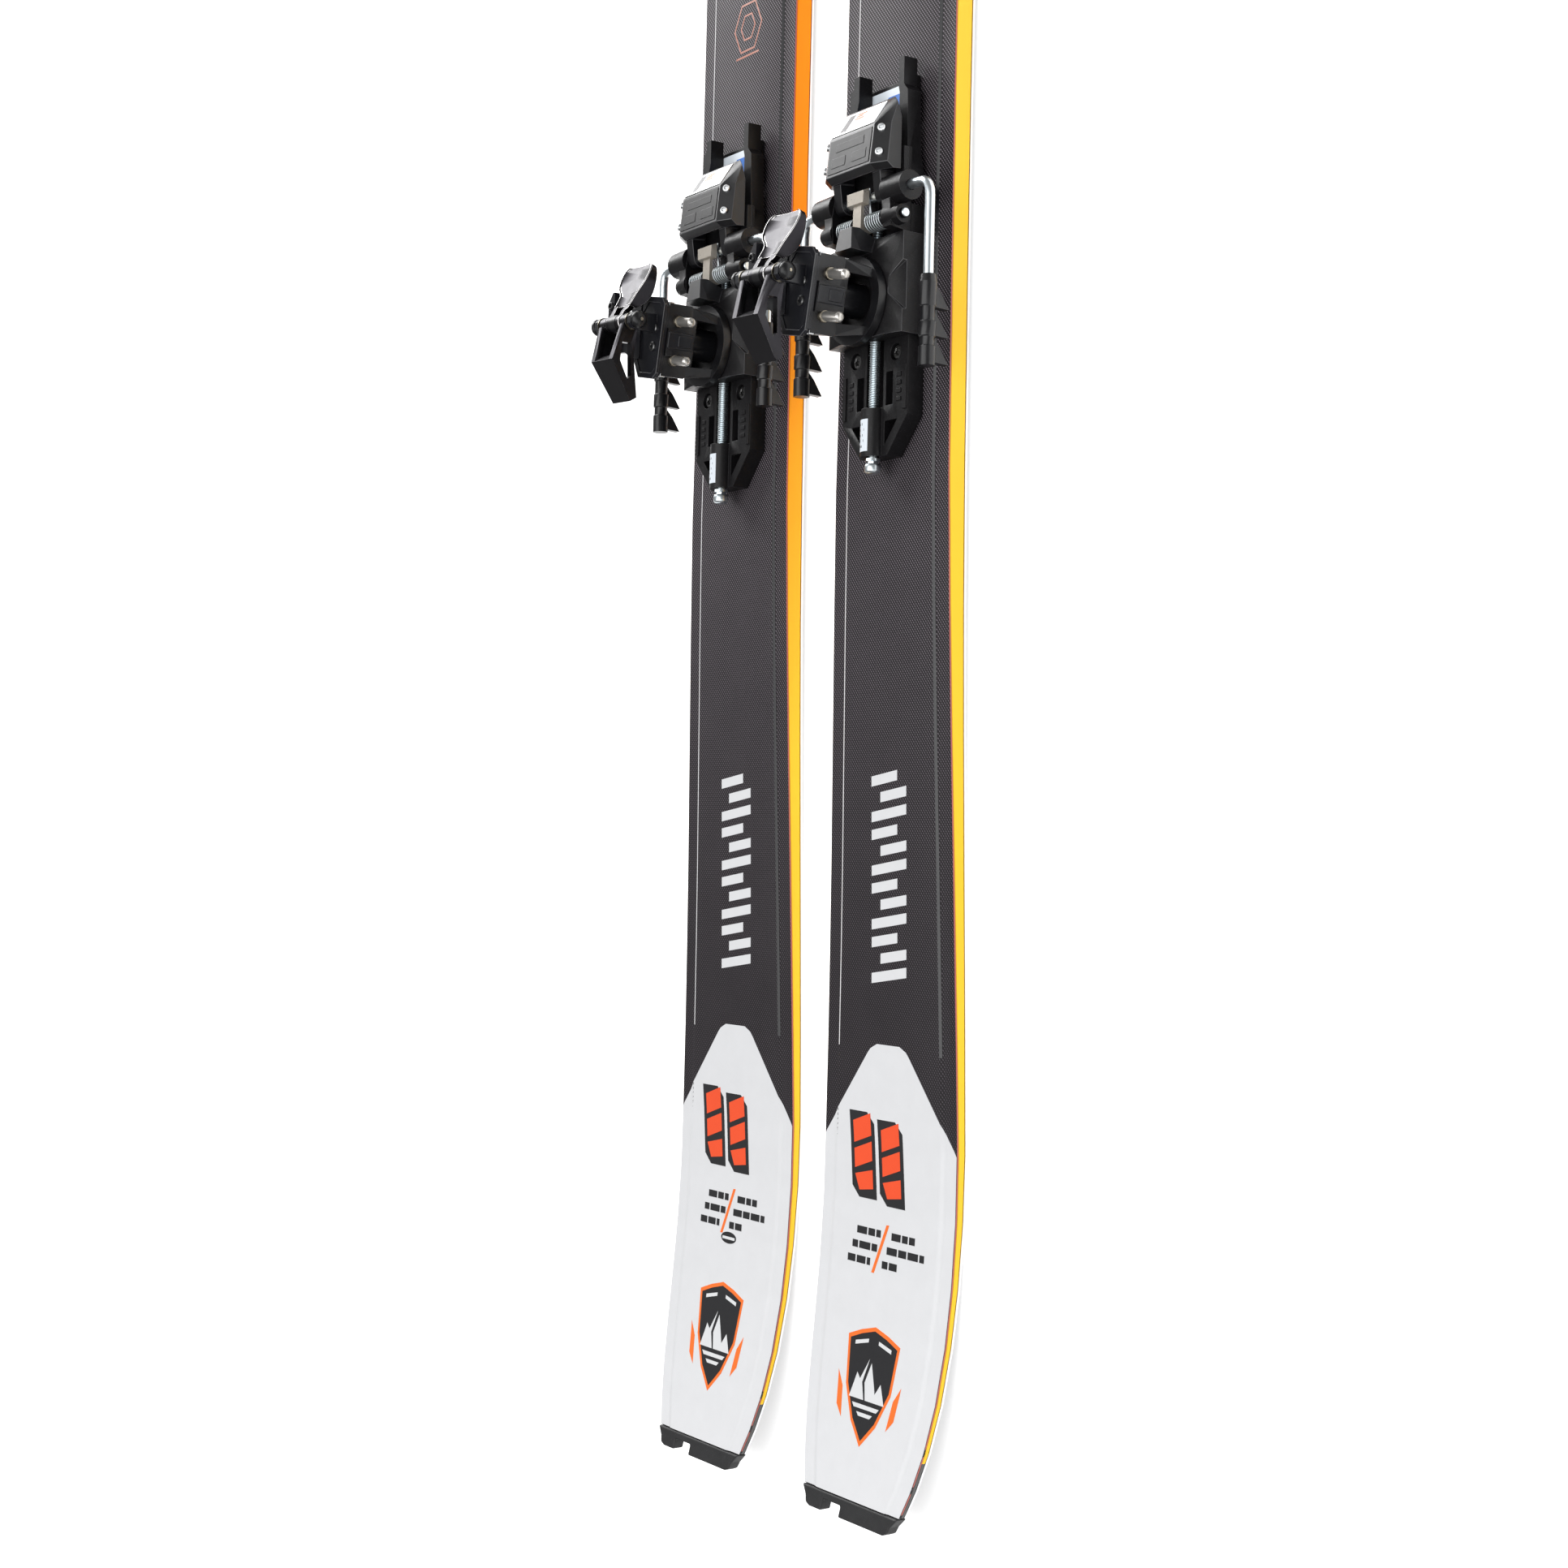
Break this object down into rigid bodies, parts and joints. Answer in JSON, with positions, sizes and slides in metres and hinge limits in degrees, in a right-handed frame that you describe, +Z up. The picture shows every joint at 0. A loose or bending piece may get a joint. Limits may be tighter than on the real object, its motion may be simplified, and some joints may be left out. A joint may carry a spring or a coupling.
{
  "type": "alpine skis with bindings",
  "caption": "Pair of freeride touring skis with pin bindings: turning heel turrets, flip-over climbing aids, ski brakes and levered toe jaws.",
  "frame": {"origin": "on the ground, midway between the two skis and midway along them", "axes": "+Y towards the tips, +X to the right across the skis, +Z up from the ground"},
  "size_m": [0.278, 1.79, 0.1032],
  "materials": {
    "base": "dark sintered plastic",
    "steel": "hardened steel",
    "zinc": "zinc plated",
    "core": "bare",
    "sidewall": "satin yellow",
    "topsheet": "satin charcoal",
    "black_plastic": "matt black",
    "grey_plastic": "matt dark grey",
    "anodised": "dark anodised",
    "nickel": "warm nickel"
  },
  "bodies": {
    "left_ski": {"left_running_base": "base", "left_steel_edge": "steel", "left_core": "core", "left_sidewall_left": "sidewall", "left_sidewall_right": "sidewall", "left_topsheet": "topsheet", "left_tail_protector": "grey_plastic", "left_toe_base": "black_plastic", "left_heel_track": "black_plastic"},
    "left_toe_unit": {"left_toe_housing": "black_plastic"},
    "left_toe_jaw_left": {"left_toe_jaw_left": "anodised"},
    "left_toe_jaw_right": {"left_toe_jaw_right": "anodised"},
    "left_toe_lever": {"left_toe_lever": "anodised"},
    "left_spindle": {"left_adjustment_spindle": "zinc"},
    "left_carriage": {"left_heel_carriage": "black_plastic", "left_brake_frame": "black_plastic", "left_brake_axle": "zinc", "left_brake_latch": "nickel"},
    "left_turret": {"left_heel_turret": "black_plastic", "left_release_pins": "steel", "left_turret_cap": "black_plastic", "left_riser_axle": "anodised"},
    "left_riser_high": {"left_riser_high": "anodised"},
    "left_riser_low": {"left_riser_low": "anodised"},
    "left_brake": {"left_brake_wire": "zinc", "left_brake_tip_left": "grey_plastic", "left_brake_tip_right": "grey_plastic", "left_brake_pedal": "black_plastic"},
    "right_ski": {"right_running_base": "base", "right_steel_edge": "steel", "right_core": "core", "right_sidewall_left": "sidewall", "right_sidewall_right": "sidewall", "right_topsheet": "topsheet", "right_tail_protector": "grey_plastic", "right_toe_base": "black_plastic", "right_heel_track": "black_plastic"},
    "right_toe_unit": {"right_toe_housing": "black_plastic"},
    "right_toe_jaw_left": {"right_toe_jaw_left": "anodised"},
    "right_toe_jaw_right": {"right_toe_jaw_right": "anodised"},
    "right_toe_lever": {"right_toe_lever": "anodised"},
    "right_spindle": {"right_adjustment_spindle": "zinc"},
    "right_carriage": {"right_heel_carriage": "black_plastic", "right_brake_frame": "black_plastic", "right_brake_axle": "zinc", "right_brake_latch": "nickel"},
    "right_turret": {"right_heel_turret": "black_plastic", "right_release_pins": "steel", "right_turret_cap": "black_plastic", "right_riser_axle": "anodised"},
    "right_riser_high": {"right_riser_high": "anodised"},
    "right_riser_low": {"right_riser_low": "anodised"},
    "right_brake": {"right_brake_wire": "zinc", "right_brake_tip_left": "grey_plastic", "right_brake_tip_right": "grey_plastic", "right_brake_pedal": "black_plastic"}
  },
  "joints": [
    {"name": "left_toe_turn", "type": "hinge", "parent": "left_ski", "child": "left_toe_unit", "pos_m": [-0.075, 0.06, 0.0265], "axis": [0, 0, 1], "range_deg": [-5, 5]},
    {"name": "left_toe_lever_hinge", "type": "hinge", "parent": "left_toe_unit", "child": "left_toe_lever", "pos_m": [-0.075, 0.098, 0.0315], "axis": [1, 0, 0], "range_deg": [-22, 10]},
    {"name": "left_toe_jaw_left_hinge", "type": "hinge", "parent": "left_toe_unit", "child": "left_toe_jaw_left", "pos_m": [-0.088, 0.06, 0.0335], "axis": [0, 1, 0], "range_deg": [-10, 5]},
    {"name": "left_toe_jaw_right_hinge", "type": "hinge", "parent": "left_toe_unit", "child": "left_toe_jaw_right", "pos_m": [-0.062, 0.06, 0.0335], "axis": [0, 1, 0], "range_deg": [-5, 10]},
    {"name": "left_heel_slide", "type": "slide", "parent": "left_ski", "child": "left_carriage", "axis": [0, 1, 0], "range_m": [-0.01, 0.01]},
    {"name": "left_spindle_turn", "type": "hinge", "parent": "left_ski", "child": "left_spindle", "pos_m": [-0.075, -0.327, 0.0287], "axis": [0, 1, 0], "range_deg": [-2890, 2890]},
    {"name": "left_turret_turn", "type": "hinge", "parent": "left_carriage", "child": "left_turret", "pos_m": [-0.075, -0.24, 0.04], "axis": [0, 0, 1], "range_deg": [0, 102]},
    {"name": "left_riser_high_hinge", "type": "hinge", "parent": "left_turret", "child": "left_riser_high", "pos_m": [-0.0905, -0.23117, 0.093], "axis": [0.9982, -0.0593, 0], "range_deg": [0, 75]},
    {"name": "left_riser_low_hinge", "type": "hinge", "parent": "left_turret", "child": "left_riser_low", "pos_m": [-0.0905, -0.23117, 0.093], "axis": [0.9982, -0.0593, 0], "range_deg": [-60, 0]},
    {"name": "left_brake_hinge", "type": "hinge", "parent": "left_carriage", "child": "left_brake", "pos_m": [-0.075, -0.184, 0.0375], "axis": [1, 0, 0], "range_deg": [0, 65]},
    {"name": "right_toe_turn", "type": "hinge", "parent": "right_ski", "child": "right_toe_unit", "pos_m": [0.075, 0.06, 0.0265], "axis": [0, 0, 1], "range_deg": [-5, 5]},
    {"name": "right_toe_lever_hinge", "type": "hinge", "parent": "right_toe_unit", "child": "right_toe_lever", "pos_m": [0.075, 0.098, 0.0315], "axis": [1, 0, 0], "range_deg": [-22, 10]},
    {"name": "right_toe_jaw_left_hinge", "type": "hinge", "parent": "right_toe_unit", "child": "right_toe_jaw_left", "pos_m": [0.062, 0.06, 0.0335], "axis": [0, 1, 0], "range_deg": [-10, 5]},
    {"name": "right_toe_jaw_right_hinge", "type": "hinge", "parent": "right_toe_unit", "child": "right_toe_jaw_right", "pos_m": [0.088, 0.06, 0.0335], "axis": [0, 1, 0], "range_deg": [-5, 10]},
    {"name": "right_heel_slide", "type": "slide", "parent": "right_ski", "child": "right_carriage", "axis": [0, 1, 0], "range_m": [-0.01, 0.01]},
    {"name": "right_spindle_turn", "type": "hinge", "parent": "right_ski", "child": "right_spindle", "pos_m": [0.075, -0.327, 0.0287], "axis": [0, 1, 0], "range_deg": [-2890, 2890]},
    {"name": "right_turret_turn", "type": "hinge", "parent": "right_carriage", "child": "right_turret", "pos_m": [0.075, -0.24, 0.04], "axis": [0, 0, 1], "range_deg": [0, 102]},
    {"name": "right_riser_high_hinge", "type": "hinge", "parent": "right_turret", "child": "right_riser_high", "pos_m": [0.0595, -0.23117, 0.093], "axis": [0.9982, -0.0593, 0], "range_deg": [0, 75]},
    {"name": "right_riser_low_hinge", "type": "hinge", "parent": "right_turret", "child": "right_riser_low", "pos_m": [0.0595, -0.23117, 0.093], "axis": [0.9982, -0.0593, 0], "range_deg": [-60, 0]},
    {"name": "right_brake_hinge", "type": "hinge", "parent": "right_carriage", "child": "right_brake", "pos_m": [0.075, -0.184, 0.0375], "axis": [1, 0, 0], "range_deg": [0, 65]},
    {"name": "pair_spread", "type": "slide", "parent": "left_ski", "child": "right_ski", "axis": [1, 0, 0], "range_m": [-0.005, 0.1]}
  ],
  "couplings": [
    {"joint": "left_toe_jaw_left_hinge", "follows": "left_toe_lever_hinge", "ratio": 0.45},
    {"joint": "left_toe_jaw_right_hinge", "follows": "left_toe_lever_hinge", "ratio": -0.45},
    {"joint": "left_spindle_turn", "follows": "left_heel_slide", "rad_per_m": 5026.5},
    {"joint": "right_toe_jaw_left_hinge", "follows": "right_toe_lever_hinge", "ratio": 0.45},
    {"joint": "right_toe_jaw_right_hinge", "follows": "right_toe_lever_hinge", "ratio": -0.45},
    {"joint": "right_spindle_turn", "follows": "right_heel_slide", "rad_per_m": 5026.5}
  ]
}
